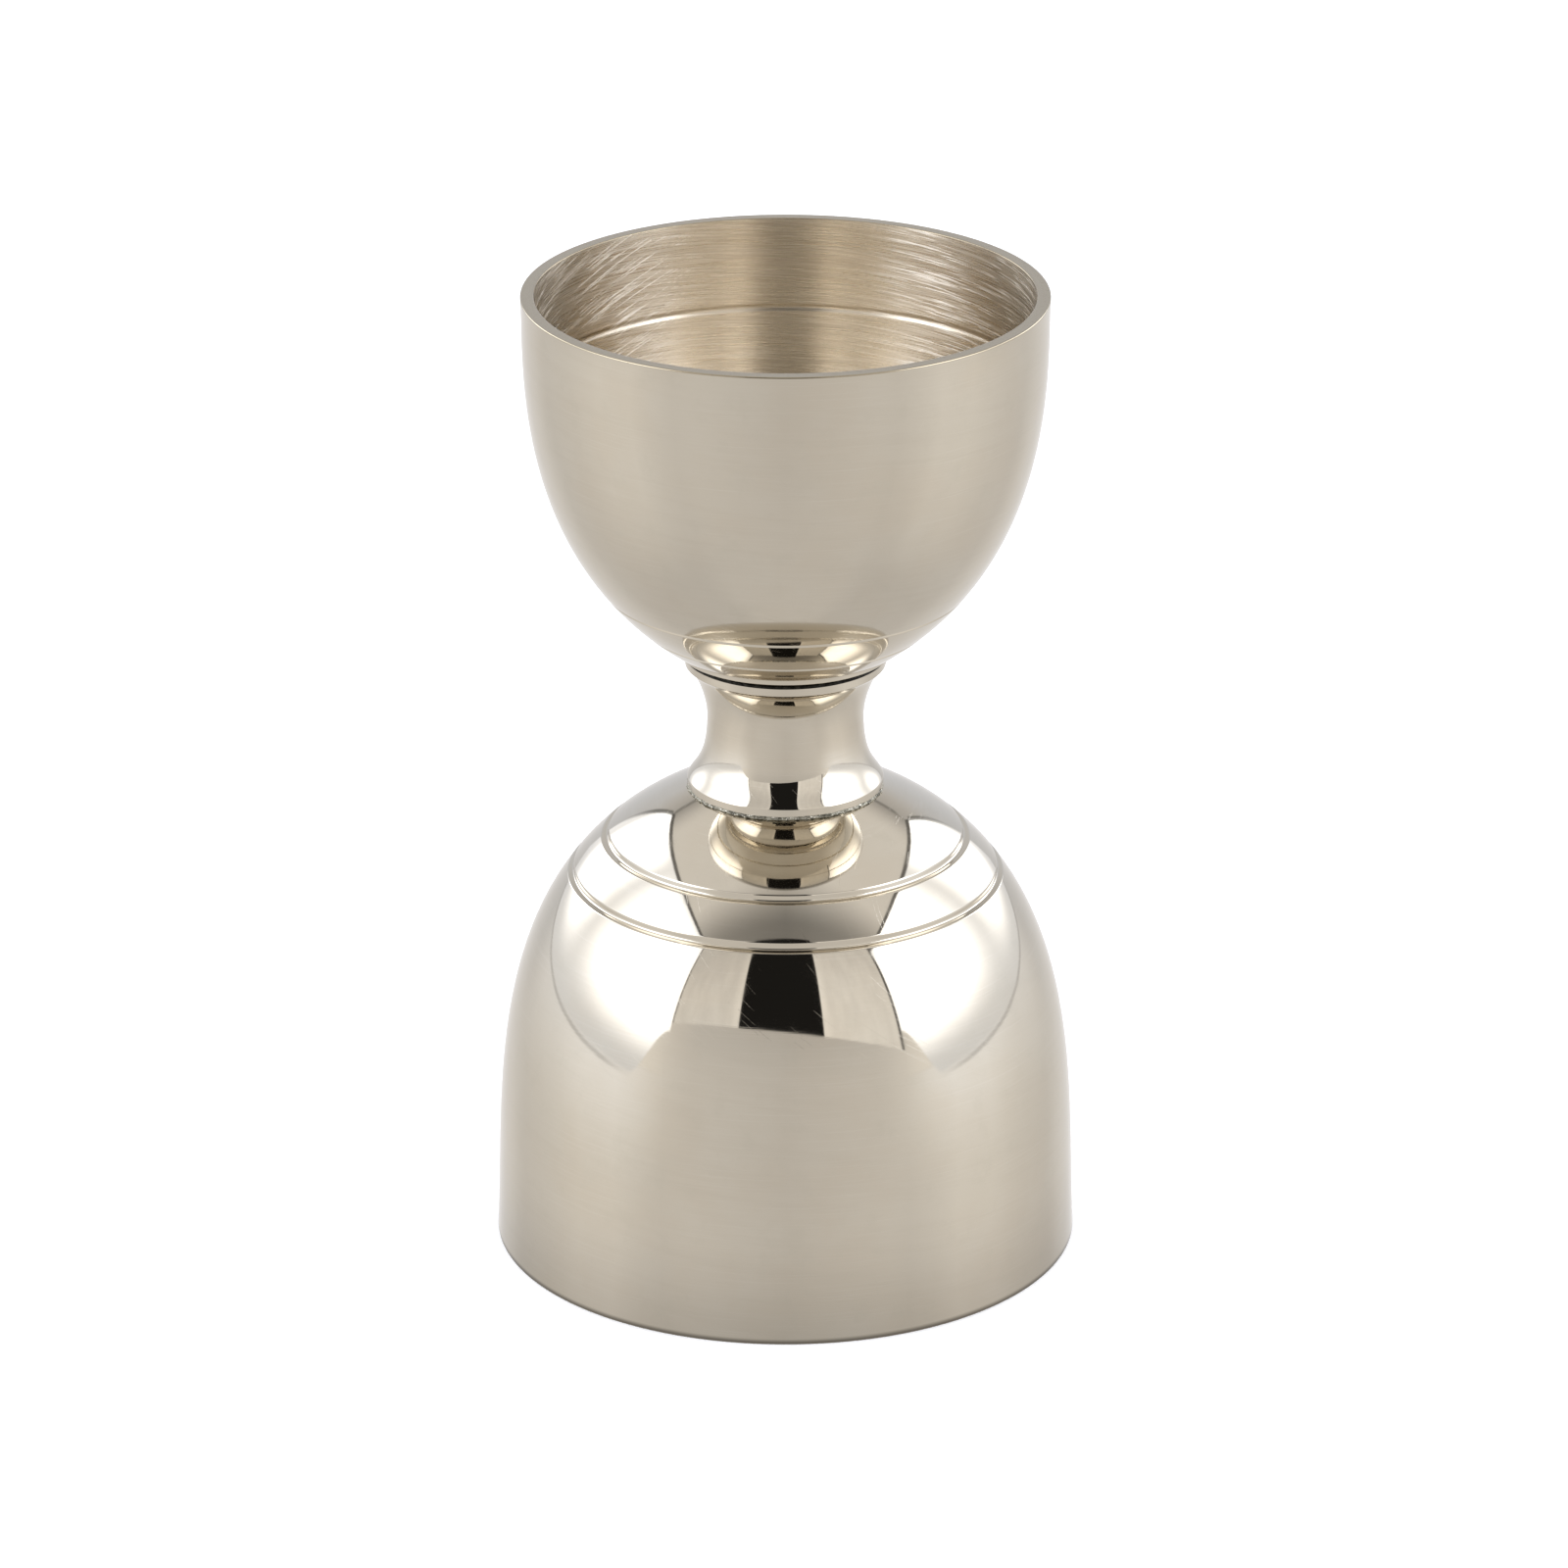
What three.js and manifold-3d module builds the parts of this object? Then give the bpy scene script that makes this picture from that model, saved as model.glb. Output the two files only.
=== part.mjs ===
// A bell-shaped bar jigger: two spun cups, mouths outwards, drawn on to a turned neck by a hidden screw.
// Units are millimetres, +Z is up, and the origin is the centre of the foot.
// Outlines are lists of (radius, height) points, and each curve is a cubic with two handles that bend it.
import * as THREE from "three";
import { mergeVertices } from "three/addons/utils/BufferGeometryUtils.js";
import Module from "manifold-3d";

// The outside of the jigger.
const HEIGHT = 94.65;
const FOOT_RADIUS = 28;
const RIM_RADIUS = 24.65;
const LOWER_SEAT_HEIGHT = 45.64;
const LOWER_SEAT_RADIUS = 9.32;
const UPPER_SEAT_HEIGHT = 59.64;
const UPPER_SEAT_RADIUS = 10.39;
const BELL_HANDLES = [[27.17, 15.12], [29.69, 37.15]];
const CONE_TOP = [12.69, 61.55];
const BOWL_HANDLES = [[26.7, 72.38], [24.18, 91.63]];

// The walls of the cups, and what is cut into them.
const WALL = 1.28;
const FLOOR = 1.6;
const FLOOR_STEPS = 6;
const FILL_LINE = { height: 85.7, width: 0.7, depth: 0.2 };
const BELL_GROOVES = [
  { height: 37.3, width: 0.9, depth: 0.3 },
  { height: 40.8, width: 0.9, depth: 0.3 },
];
const BOWL_LINES = [
  { height: 62.4, width: 0.4, depth: 0.15 },
  { height: 66.1, width: 0.4, depth: 0.15 },
];

// The neck: a flange below, a waist, and a collar above, each lip with a crisp corner.
const GAP = 0.3;
const FLANGE_CORNER = [9.33, 46.69];
const LOWER_FLARE_HANDLES = [[8.6, 47.86], [7.45, 48.73]];
const WAIST = [7.45, 52.88];
const UPPER_FLARE_HANDLES = [[7.45, 54.93], [8.65, 57.81]];
const COLLAR_CORNER = [9.49, 58.13];
const COLLAR_LIP = [9.55, 58.23];
const COLLAR_RADIUS = 9.59;
const BROKEN_EDGE = 0.2;
const FLARE_STEPS = 8;

// What holds the cups to the neck.
const BOSS_RADIUS = 5.4;
const BOSS_HEIGHT = 4.7;
const BRAZE_LEG = 0.9;
const BRAZE_ROOM = 0.5;
const BRAZE_STEPS = 4;
const PITCH = 1;
const MAJOR_RADIUS = 3;
const MINOR_RADIUS = 2.39;
const SCREW_LENGTH = 12;
const SOCKET_ACROSS_FLATS = 3;
const SOCKET_DEPTH = 3;

// How finely round shapes are cut.
const SEGMENTS = 40;
const CURVE_STEPS = 12;
const THREAD_COLUMNS = 16;
const THREAD_CROWN = 0.1;
const HEXAGON = 6;

const wasm = await Module();
wasm.setup();

const nickel = { color: 0xcfc6b4, metalness: 1, roughness: 0.08 };
const silverBraze = { color: 0xb9b3a6, metalness: 1, roughness: 0.45 };
const brass = { color: 0xc9a15a, metalness: 1, roughness: 0.35 };
const steel = { color: 0x8c9096, metalness: 1, roughness: 0.4 };

function point(radius, height) {
  return new THREE.Vector2(radius, height);
}

function bend(start, handles, end) {
  return new THREE.CubicBezierCurve(start, point(...handles[0]), point(...handles[1]), end);
}

// The fraction of a rising curve's length at which it reaches a height.
function fractionAtHeight(curve, height) {
  const rising = curve.getPoint(1).y > curve.getPoint(0).y;
  let low = 0;
  let high = 1;
  for (let i = 0; i < 30; i++) {
    const middle = (low + high) / 2;
    if (curve.getPointAt(middle).y < height === rising) low = middle;
    else high = middle;
  }
  return (low + high) / 2;
}

// Points a constant distance to the left of a curve, with a V-shaped groove at each listed height.
function sidePoints(curve, inset, grooves, grooveSide) {
  const stops = [];
  const notches = grooves.map((groove) => ({
    at: fractionAtHeight(curve, groove.height),
    half: groove.width / 2 / curve.getLength(),
    depth: groove.depth * grooveSide,
  }));
  for (let i = 0; i <= CURVE_STEPS; i++) {
    const at = i / CURVE_STEPS;
    const clear = notches.every((notch) => Math.abs(at - notch.at) > 1.5 * notch.half);
    if (clear) stops.push({ at, depth: 0 });
  }
  for (const { at, half, depth } of notches) {
    stops.push({ at: at - half, depth: 0 }, { at, depth }, { at: at + half, depth: 0 });
  }
  stops.sort((a, b) => a.at - b.at);
  return stops.map(({ at, depth }) => {
    const normal = curve.getTangentAt(at).rotateAround(point(0, 0), Math.PI / 2);
    return curve.getPointAt(at).addScaledVector(normal, inset + depth);
  });
}

// A round floor from the inner wall to the axis, level where it meets the axis.
function floorPoints(wallEnd, wallBefore, floorHeight) {
  const run = (wallEnd.x - wallBefore.x) / (wallEnd.y - wallBefore.y);
  const corner = point(wallEnd.x + run * (floorHeight - wallEnd.y), floorHeight);
  const curve = new THREE.QuadraticBezierCurve(wallEnd, corner, point(0, floorHeight));
  return curve.getPoints(FLOOR_STEPS).slice(1);
}

// The inside of a cup, from its mouth to the axis.
function insidePoints(wallPoints, floorHeight, floorRadius) {
  const wall = wallPoints.filter((p) => p.x > floorRadius);
  return [...wall, ...floorPoints(wall.at(-1), wall.at(-2), floorHeight)];
}

function lathe(points) {
  return new THREE.LatheGeometry(points, SEGMENTS).rotateX(Math.PI / 2);
}

function solidOf(geometry) {
  const bare = geometry.clone();
  bare.deleteAttribute("normal");
  bare.deleteAttribute("uv");
  const merged = mergeVertices(bare, 1e-4);
  return new wasm.Manifold(
    new wasm.Mesh({
      numProp: 3,
      vertProperties: merged.attributes.position.array,
      triVerts: new Uint32Array(merged.index.array),
    }),
  );
}

function geometryOf(solid) {
  const { vertProperties, triVerts } = solid.getMesh();
  const geometry = new THREE.BufferGeometry()
    .setAttribute("position", new THREE.BufferAttribute(vertProperties, 3))
    .setIndex(new THREE.BufferAttribute(triVerts, 1));
  geometry.computeVertexNormals();
  return geometry;
}

// The bell, mouth down: a nearly straight skirt that rounds over a shoulder to a flat seat for the neck.
function lowerCup() {
  const seatEdge = point(LOWER_SEAT_RADIUS, LOWER_SEAT_HEIGHT);
  const outside = bend(point(FOOT_RADIUS, 0), BELL_HANDLES, seatEdge);
  const innerWall = sidePoints(outside, WALL, [], 0);
  const floorHeight = LOWER_SEAT_HEIGHT - FLOOR;
  const inside = insidePoints(innerWall, floorHeight, LOWER_SEAT_RADIUS + WALL).reverse();
  const outer = sidePoints(outside, 0, BELL_GROOVES, 1);
  inside.at(-1).y = 0;
  return lathe([...inside, ...outer, point(0, LOWER_SEAT_HEIGHT)]);
}

// The bowl, mouth up: a cone above its seat on the neck, then one long curve to a nearly upright rim.
function upperCup() {
  const seatEdge = point(UPPER_SEAT_RADIUS, UPPER_SEAT_HEIGHT);
  const coneTop = point(...CONE_TOP);
  const outside = new THREE.CurvePath();
  outside.add(new THREE.LineCurve(seatEdge, coneTop));
  outside.add(bend(coneTop, BOWL_HANDLES, point(RIM_RADIUS, HEIGHT)));
  const innerWall = sidePoints(outside, WALL, [FILL_LINE], -1).reverse();
  innerWall[0].y = HEIGHT;
  const inside = insidePoints(innerWall, UPPER_SEAT_HEIGHT + FLOOR, UPPER_SEAT_RADIUS + WALL);
  const outer = sidePoints(outside, 0, BOWL_LINES, 1);
  return lathe([point(0, UPPER_SEAT_HEIGHT), ...outer, ...inside]);
}

// The spool between the cups: bored for the screw, and counterbored at each end for a boss and its braze.
function neck() {
  const bottom = LOWER_SEAT_HEIGHT + GAP;
  const top = UPPER_SEAT_HEIGHT - GAP;
  const bore = MAJOR_RADIUS + GAP;
  const counterbore = BOSS_RADIUS + GAP;
  const counterboreDepth = BOSS_HEIGHT + GAP;
  const mouth = BRAZE_LEG + BRAZE_ROOM;
  const flange = point(...FLANGE_CORNER);
  const waist = point(...WAIST);
  const collar = point(...COLLAR_CORNER);
  return lathe([
    point(counterbore + mouth, bottom),
    point(flange.x - BROKEN_EDGE, bottom),
    point(flange.x, bottom + BROKEN_EDGE),
    ...bend(flange, LOWER_FLARE_HANDLES, waist).getPoints(FLARE_STEPS),
    ...bend(waist, UPPER_FLARE_HANDLES, collar).getPoints(FLARE_STEPS).slice(1),
    point(...COLLAR_LIP),
    point(COLLAR_RADIUS, top),
    point(counterbore + mouth, top),
    point(counterbore, top - mouth),
    point(counterbore, top - counterboreDepth),
    point(bore, top - counterboreDepth),
    point(bore, bottom + counterboreDepth),
    point(counterbore, bottom + counterboreDepth),
    point(counterbore, bottom + mouth),
    point(counterbore + mouth, bottom),
  ]);
}

// A right-handed thread round the Z axis, at least a turn longer than asked for at both ends. All threads
// here share one helix, so a screw and its tapped hole are in step.
function threadSolid(minorRadius, majorRadius, lowest, highest) {
  const firstTurn = Math.floor(lowest / PITCH) - 1;
  const turns = Math.ceil(highest / PITCH) + 1 - firstTurn;
  const profile = [
    { share: 0, radius: minorRadius },
    { share: 1 / 4, radius: minorRadius },
    { share: 9 / 16, radius: majorRadius },
    { share: 11 / 16, radius: majorRadius },
  ];
  const rowsPerTurn = profile.length;
  const rows = turns * rowsPerTurn;
  const positions = [];
  for (let column = 0; column < THREAD_COLUMNS; column++) {
    const turned = column / THREAD_COLUMNS;
    const angle = 2 * Math.PI * turned;
    for (let row = 0; row <= rows; row++) {
      const { share, radius } = profile[row % rowsPerTurn];
      const turn = firstTurn + Math.floor(row / rowsPerTurn) + share + turned;
      positions.push(radius * Math.cos(angle), radius * Math.sin(angle), PITCH * turn);
    }
  }
  // A row that has gone all the way round carries on as the row one turn higher.
  const vertex = (row, column) =>
    column === THREAD_COLUMNS ? row + rowsPerTurn : column * (rows + 1) + row;
  const faces = [];
  for (let column = 0; column < THREAD_COLUMNS; column++) {
    const last = column === THREAD_COLUMNS - 1 ? rows - rowsPerTurn : rows;
    for (let row = 0; row < last; row++) {
      const a = vertex(row, column);
      const b = vertex(row, column + 1);
      faces.push(a, b, b + 1, a, b + 1, a + 1);
    }
  }
  // Each end is a fan from a point on the axis to the step that the helix ends in.
  const bottomLoop = [];
  const topLoop = [vertex(rows, 0)];
  for (let column = 0; column < THREAD_COLUMNS; column++) bottomLoop.push(vertex(0, column));
  for (let row = rowsPerTurn; row > 0; row--) bottomLoop.push(vertex(row, 0));
  for (let row = rows - rowsPerTurn; row < rows; row++) topLoop.push(vertex(row, THREAD_COLUMNS - 1));
  for (let column = THREAD_COLUMNS - 1; column > 0; column--) topLoop.push(vertex(rows, column));
  for (const [loop, turn] of [[bottomLoop, firstTurn], [topLoop, firstTurn + turns + 1]]) {
    const centre = positions.length / 3;
    positions.push(0, 0, PITCH * turn);
    loop.forEach((current, i) => faces.push(centre, loop[(i + 1) % loop.length], current));
  }
  return new wasm.Manifold(
    new wasm.Mesh({
      numProp: 3,
      vertProperties: new Float32Array(positions),
      triVerts: new Uint32Array(faces),
    }),
  );
}

// A plain round boss with a tapped hole right through it.
function boss(bottom) {
  const top = bottom + BOSS_HEIGHT;
  const blank = lathe([
    point(0, bottom),
    point(BOSS_RADIUS, bottom),
    point(BOSS_RADIUS, top - GAP),
    point(BOSS_RADIUS - GAP, top),
    point(0, top),
  ]);
  const tap = threadSolid(MINOR_RADIUS + GAP, MAJOR_RADIUS + GAP, bottom, top);
  return geometryOf(solidOf(blank).subtract(tap));
}

// The fillet of braze round a boss: away is 1 where it stands on its cup, and -1 where it hangs under it.
function brazeRing(seatHeight, away) {
  const root = point(BOSS_RADIUS + GAP, seatHeight + away * GAP);
  const hollow = new THREE.QuadraticBezierCurve(
    point(root.x + BRAZE_LEG, root.y),
    point(root.x + BRAZE_LEG / 4, root.y + (away * BRAZE_LEG) / 4),
    point(root.x, root.y + away * BRAZE_LEG),
  );
  const outline = [root, ...hollow.getPoints(BRAZE_STEPS), root.clone()];
  return lathe(away > 0 ? outline : outline.reverse());
}

// A headless screw with chamfered ends, threaded all along, and a hexagon socket in its upper end.
function joiningScrew() {
  const middle = (LOWER_SEAT_HEIGHT + UPPER_SEAT_HEIGHT) / 2;
  const bottom = middle - SCREW_LENGTH / 2;
  const top = middle + SCREW_LENGTH / 2;
  const endRadius = MINOR_RADIUS - GAP;
  const blankRadius = MAJOR_RADIUS + THREAD_CROWN;
  const blank = lathe([
    point(0, bottom),
    point(endRadius, bottom),
    point(blankRadius, bottom + blankRadius - endRadius),
    point(blankRadius, top - blankRadius + endRadius),
    point(endRadius, top),
    point(0, top),
  ]);
  const cornerRadius = SOCKET_ACROSS_FLATS / 2 / Math.cos(Math.PI / HEXAGON);
  const socket = new THREE.CylinderGeometry(cornerRadius, cornerRadius, 2 * SOCKET_DEPTH, HEXAGON)
    .rotateX(Math.PI / 2)
    .translate(0, 0, top);
  const thread = threadSolid(MINOR_RADIUS, MAJOR_RADIUS, bottom, top);
  return geometryOf(thread.intersect(solidOf(blank)).subtract(solidOf(socket)));
}

const jigger = new THREE.Group();

function addPiece(name, geometry, finish) {
  const mesh = new THREE.Mesh(geometry, new THREE.MeshStandardMaterial(finish));
  mesh.name = name;
  jigger.add(mesh);
}

addPiece("lower_cup", lowerCup(), nickel);
addPiece("upper_cup", upperCup(), nickel);
addPiece("neck", neck(), nickel);
addPiece("lower_boss", boss(LOWER_SEAT_HEIGHT + GAP), brass);
addPiece("upper_boss", boss(UPPER_SEAT_HEIGHT - GAP - BOSS_HEIGHT), brass);
addPiece("lower_braze_ring", brazeRing(LOWER_SEAT_HEIGHT, 1), silverBraze);
addPiece("upper_braze_ring", brazeRing(UPPER_SEAT_HEIGHT, -1), silverBraze);
addPiece("joining_screw", joiningScrew(), steel);

export default jigger;
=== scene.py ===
"""A nickel-plated bar jigger: two spun cups on a turned neck, lit inside a white tent."""

import math

import bpy
import numpy as np
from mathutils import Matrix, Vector


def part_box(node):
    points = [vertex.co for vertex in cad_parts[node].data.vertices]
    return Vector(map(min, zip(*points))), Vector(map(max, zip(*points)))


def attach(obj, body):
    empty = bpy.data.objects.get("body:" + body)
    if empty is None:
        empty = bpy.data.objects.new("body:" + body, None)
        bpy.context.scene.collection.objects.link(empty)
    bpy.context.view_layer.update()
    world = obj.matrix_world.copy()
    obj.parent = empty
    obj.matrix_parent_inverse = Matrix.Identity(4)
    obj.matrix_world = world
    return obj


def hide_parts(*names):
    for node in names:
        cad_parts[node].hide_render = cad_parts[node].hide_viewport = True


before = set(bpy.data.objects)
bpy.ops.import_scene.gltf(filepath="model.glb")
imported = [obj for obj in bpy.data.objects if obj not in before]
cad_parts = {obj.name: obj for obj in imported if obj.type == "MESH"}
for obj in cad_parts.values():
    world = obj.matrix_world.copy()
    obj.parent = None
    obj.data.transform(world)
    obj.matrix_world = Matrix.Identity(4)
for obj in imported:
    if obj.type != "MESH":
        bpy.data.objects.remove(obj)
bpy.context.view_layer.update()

MM = 0.001
ROUND = 240  # segments round the axis
ON_AXIS = 1e-6
TOUCHING = 1e-4

# Outlines in millimetres, as in the CAD, pinned to the CAD boxes further down.
WALL = 1.28
FLOOR = 1.6
BROKEN_EDGE = 0.14
BELL_GROOVES = ((37.3, 1.15, 0.32), (40.8, 1.15, 0.32))  # height, width, depth
BOWL_LINES = ((62.4, 0.5, 0.26), (66.1, 0.45, 0.13))
FILL_LINE = ((85.7, 0.9, 0.1),)


# ---------------------------------------------------------------- outlines


class Curve:
    """A plane curve of (radius, height) in millimetres, measured by the distance along it."""

    def __init__(self, *pieces):
        points = [np.array(pieces[0][0], float)[None]]
        for piece in pieces:
            control = np.array(piece, float)
            t = np.linspace(0, 1, 1500)[1:, None]
            if len(control) == 2:
                points.append(control[0] * (1 - t) + control[1] * t)
            elif len(control) == 3:
                a, b, c = control
                points.append(a * (1 - t) ** 2 + 2 * b * t * (1 - t) + c * t**2)
            else:
                a, b, c, d = control
                points.append(
                    a * (1 - t) ** 3 + 3 * b * t * (1 - t) ** 2 + 3 * c * t**2 * (1 - t) + d * t**3
                )
        self.points = np.vstack(points)
        step = np.hypot(*np.diff(self.points, axis=0).T)
        self.along = np.concatenate([[0], np.cumsum(step)])
        self.length = self.along[-1]
        slope = np.gradient(self.points, self.along, axis=0)
        slope /= np.hypot(*slope.T)[:, None]
        self.slopes = slope

    def at(self, s):
        return np.column_stack([np.interp(s, self.along, self.points[:, k]) for k in (0, 1)])

    def slope(self, s):
        v = np.column_stack([np.interp(s, self.along, self.slopes[:, k]) for k in (0, 1)])
        return v / np.hypot(*v.T)[:, None]

    def where_height(self, height):
        return self.along[np.argmin(np.abs(self.points[:, 1] - height))]


def side(curve, inset=0.0, grooves=(), start=0.0, end=None, step=0.55, reverse=False):
    """(points, normals) along a curve, set back by inset from its right, with smooth grooves cut in.
    The normals point to its right or, in reverse, to its left with the points in the other order."""
    end = curve.length if end is None else end
    stops = [np.linspace(start, end, max(3, int((end - start) / step)))]
    cuts = []
    for height, width, depth in grooves:
        middle = curve.where_height(height)
        cuts.append((middle, width, depth))
        stops.append(middle + np.linspace(-0.62, 0.62, 31) * width)
    s = np.unique(np.clip(np.concatenate(stops), start, end))
    s = s[np.append(np.diff(s) > 1e-3, True)]

    def place(s):
        slope = curve.slope(s)
        right = np.column_stack([slope[:, 1], -slope[:, 0]])
        depth = np.full(len(s), inset, float)
        for middle, width, deep in cuts:
            x = np.clip((s - middle) / width, -0.5, 0.5)
            sign = -1 if reverse else 1
            depth += sign * deep * (0.5 + 0.5 * np.cos(2 * math.pi * x))
        return curve.at(s) - right * depth[:, None]

    eps = 0.004
    points = place(s)
    run = place(np.minimum(s + eps, end)) - place(np.maximum(s - eps, start))
    run /= np.hypot(*run.T)[:, None]
    normals = np.column_stack([run[:, 1], -run[:, 0]])
    if reverse:
        return points[::-1], -normals[::-1]
    return points, normals


def flat(a, b, count=4):
    """(points, normals) along a straight line, the normal on its right."""
    a, b = np.array(a, float), np.array(b, float)
    t = np.linspace(0, 1, count)[:, None]
    run = (b - a) / np.hypot(*(b - a))
    return a + (b - a) * t, np.repeat([[run[1], -run[0]]], count, 0)


def edge(a, normal_a, b, normal_b, count=6):
    """A small rounded edge from a to b whose normal turns from one to the other."""
    a, b = np.array(a, float), np.array(b, float)
    normal_a, normal_b = np.array(normal_a, float), np.array(normal_b, float)
    t = np.linspace(0, 1, count)[:, None]
    run_a = np.array([-normal_a[1], normal_a[0]])
    run_b = np.array([-normal_b[1], normal_b[0]])
    reach = np.hypot(*(b - a)) * 0.55
    corner_a, corner_b = a + run_a * reach * 0.7, b - run_b * reach * 0.7
    points = (
        a * (1 - t) ** 3
        + 3 * corner_a * t * (1 - t) ** 2
        + 3 * corner_b * t**2 * (1 - t)
        + b * t**3
    )
    run = np.gradient(points, axis=0)
    run[0], run[-1] = run_a, run_b
    run /= np.hypot(*run.T)[:, None]
    return points, np.column_stack([run[:, 1], -run[:, 0]])


# ---------------------------------------------------------------- meshes


def turned(name, node, sections, uneven=None):
    """A closed solid of revolution from (points, normals, finish) sections that follow on from each
    other. Points of the GRIME_AND_SHADE finish are shifted by uneven(angles, radii, heights), if it is given."""
    angles = np.arange(ROUND) * 2 * math.pi / ROUND
    cosines, sines = np.cos(angles), np.sin(angles)
    vertices, rows, outline = [], [], []

    def add_row(point, finish):
        radius, height = point
        outline.append(point)
        if radius < ON_AXIS:
            rows.append([len(vertices)] * ROUND)
            vertices.append((0.0, 0.0, height * MM))
            return
        rows.append(list(range(len(vertices), len(vertices) + ROUND)))
        radii, heights = np.full(ROUND, radius), np.full(ROUND, height)
        if finish == GRIME_AND_SHADE and uneven:
            radii, heights = uneven(angles, radii, heights)
        vertices.extend(zip(radii * cosines * MM, radii * sines * MM, heights * MM))

    bands = []
    for points, normals, finish in sections:
        joined = bool(rows) and np.hypot(*(points[0] - outline[-1])) < TOUCHING
        first = len(rows) - joined
        for point in points[int(joined) :]:
            add_row(point, finish)
        for i in range(len(points) - 1):
            bands.append((first + i, finish, normals[i], normals[i + 1]))
    if outline[0][0] > ON_AXIS:
        rows[-1] = rows[0]
        del vertices[-ROUND:]

    faces, finishes, loop_normals = [], [], []
    for row, finish, low, high in bands:
        a, b = rows[row], rows[row + 1]
        for j in range(ROUND):
            k = (j + 1) % ROUND
            corners = [(a[j], j, low), (a[k], k, low), (b[k], k, high), (b[j], j, high)]
            if a[j] == a[k]:
                del corners[1]
            elif b[j] == b[k]:
                del corners[2]
            faces.append([vertex for vertex, _, _ in corners])
            finishes.append(finish)
            for _, column, (out, up) in corners:
                plain = (out * cosines[column], out * sines[column], up)
                loop_normals.append((0.0, 0.0, 0.0) if finish == GRIME_AND_SHADE else plain)

    mesh = bpy.data.meshes.new(name)
    mesh.from_pydata(vertices, [], faces)
    for material in FINISHES:
        mesh.materials.append(material)
    mesh.polygons.foreach_set("material_index", finishes)
    mesh.polygons.foreach_set("use_smooth", [True] * len(faces))
    mesh.update()
    mesh.normals_split_custom_set(loop_normals)
    piece = bpy.data.objects.new(name, mesh)
    bpy.context.scene.collection.objects.link(piece)
    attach(piece, "root")
    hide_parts(node)


# ---------------------------------------------------------------- materials


class Tree:
    """Short calls for building a node tree."""

    def __init__(self, owner):
        owner.use_nodes = True
        self.tree = owner.node_tree
        self.tree.nodes.clear()

    def node(self, kind, inputs=(), **settings):
        made = self.tree.nodes.new(kind)
        for key, value in settings.items():
            setattr(made, key, value)
        for key, value in dict(inputs).items():
            self.put(made.inputs[key], value)
        return made

    def put(self, socket, value):
        if isinstance(value, bpy.types.NodeSocket):
            self.tree.links.new(value, socket)
        elif value is not None:
            socket.default_value = value

    def math(self, operation, a, b=None, c=None):
        made = self.node("ShaderNodeMath", operation=operation)
        for i, value in enumerate((a, b, c)):
            self.put(made.inputs[i], value)
        return made.outputs[0]

    def mix(self, share, a, b):
        """A blend of two numbers."""
        made = self.node("ShaderNodeMix", data_type="FLOAT", clamp_factor=True)
        for i, value in zip((0, 2, 3), (share, a, b)):
            self.put(made.inputs[i], value)
        return made.outputs[0]

    def colours(self, share, a, b):
        """A blend of two colours."""
        made = self.node("ShaderNodeMix", data_type="RGBA", clamp_factor=True)
        for i, value in zip((0, 6, 7), (share, a, b)):
            if isinstance(value, tuple):
                value = (*value, 1.0)
            self.put(made.inputs[i], value)
        return made.outputs[2]

    def step(self, value, low, high, a=0.0, b=1.0):
        """Smoothly a below low and b above high."""
        made = self.node("ShaderNodeMapRange", interpolation_type="SMOOTHSTEP")
        for i, v in enumerate((value, low, high, a, b)):
            self.put(made.inputs[i], v)
        return made.outputs[0]

    def ramp(self, value, stops):
        """Linear between (place, number) stops."""
        made = self.node("ShaderNodeValToRGB", {0: value})
        elements = made.color_ramp.elements
        while len(elements) < len(stops):
            elements.new(0.5)
        for element, (place, level) in zip(elements, stops):
            element.position = place
            element.color = (level, level, level, 1)
        return made.outputs[0]

    def point(self, x, y, z):
        return self.node("ShaderNodeCombineXYZ", {0: x, 1: y, 2: z}).outputs[0]

    def noise(self, vector, scale, detail, roughness):
        inputs = {"Vector": vector, "Scale": scale, "Detail": detail, "Roughness": roughness}
        return self.node("ShaderNodeTexNoise", inputs).outputs[0]


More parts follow.
